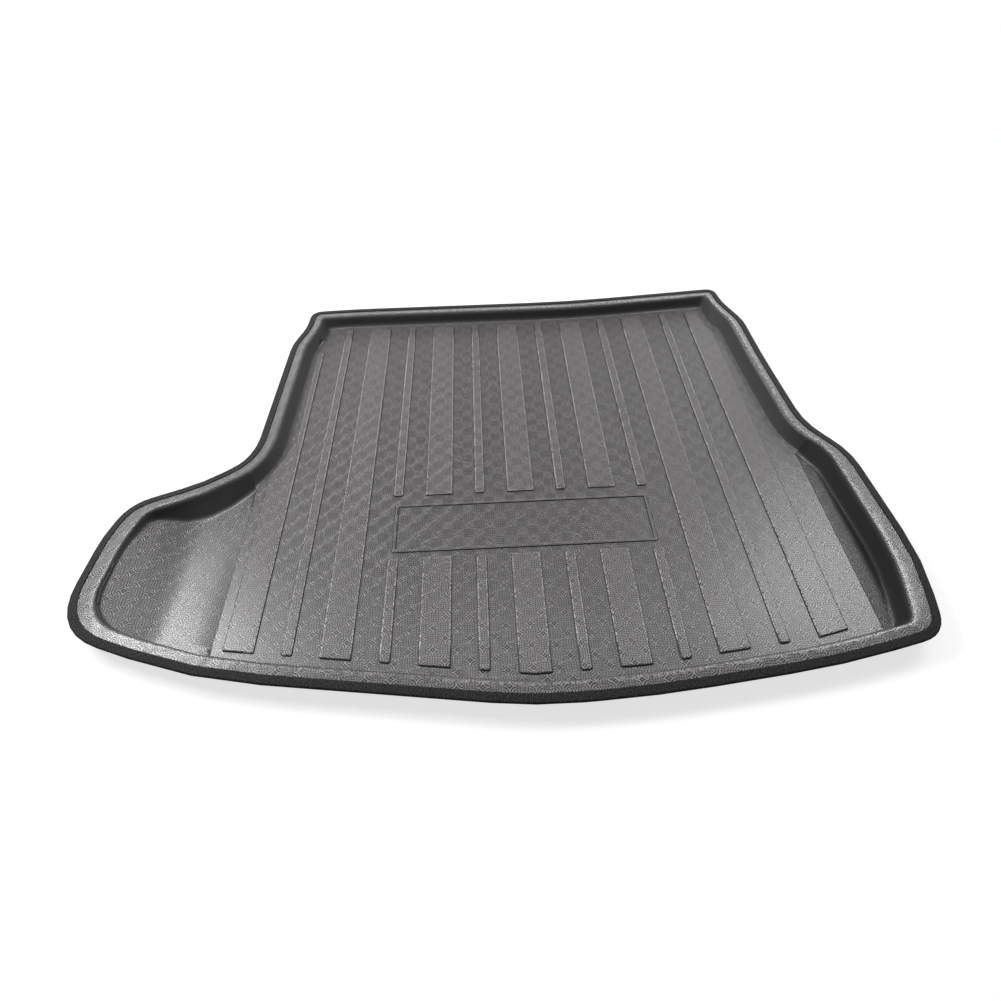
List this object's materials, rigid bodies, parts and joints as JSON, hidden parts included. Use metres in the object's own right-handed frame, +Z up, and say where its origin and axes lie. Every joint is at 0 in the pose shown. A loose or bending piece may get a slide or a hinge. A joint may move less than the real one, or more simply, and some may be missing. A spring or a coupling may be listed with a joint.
{
  "type": "car boot liner",
  "caption": "Shallow moulded boot tray with a raised rim, lengthwise ribs, a plain label panel and two side pockets, its edge bound in woven tape.",
  "frame": {"origin": "under the middle of the liner's outline, at its lowest point", "axes": "+X across the car to the right as seen from the rear bumper, +Y towards the seats, +Z up"},
  "size_m": [1.2758, 0.978, 0.038],
  "materials": {
    "moulded_sheet": "thermoformed foamed sheet with a fine embossed checker and a satin skin",
    "binding_tape": "ribbed woven tape, folded over the edge and sewn"
  },
  "bodies": {
    "root": {"liner_tray": "moulded_sheet", "edge_binding": "binding_tape"}
  },
  "joints": []
}
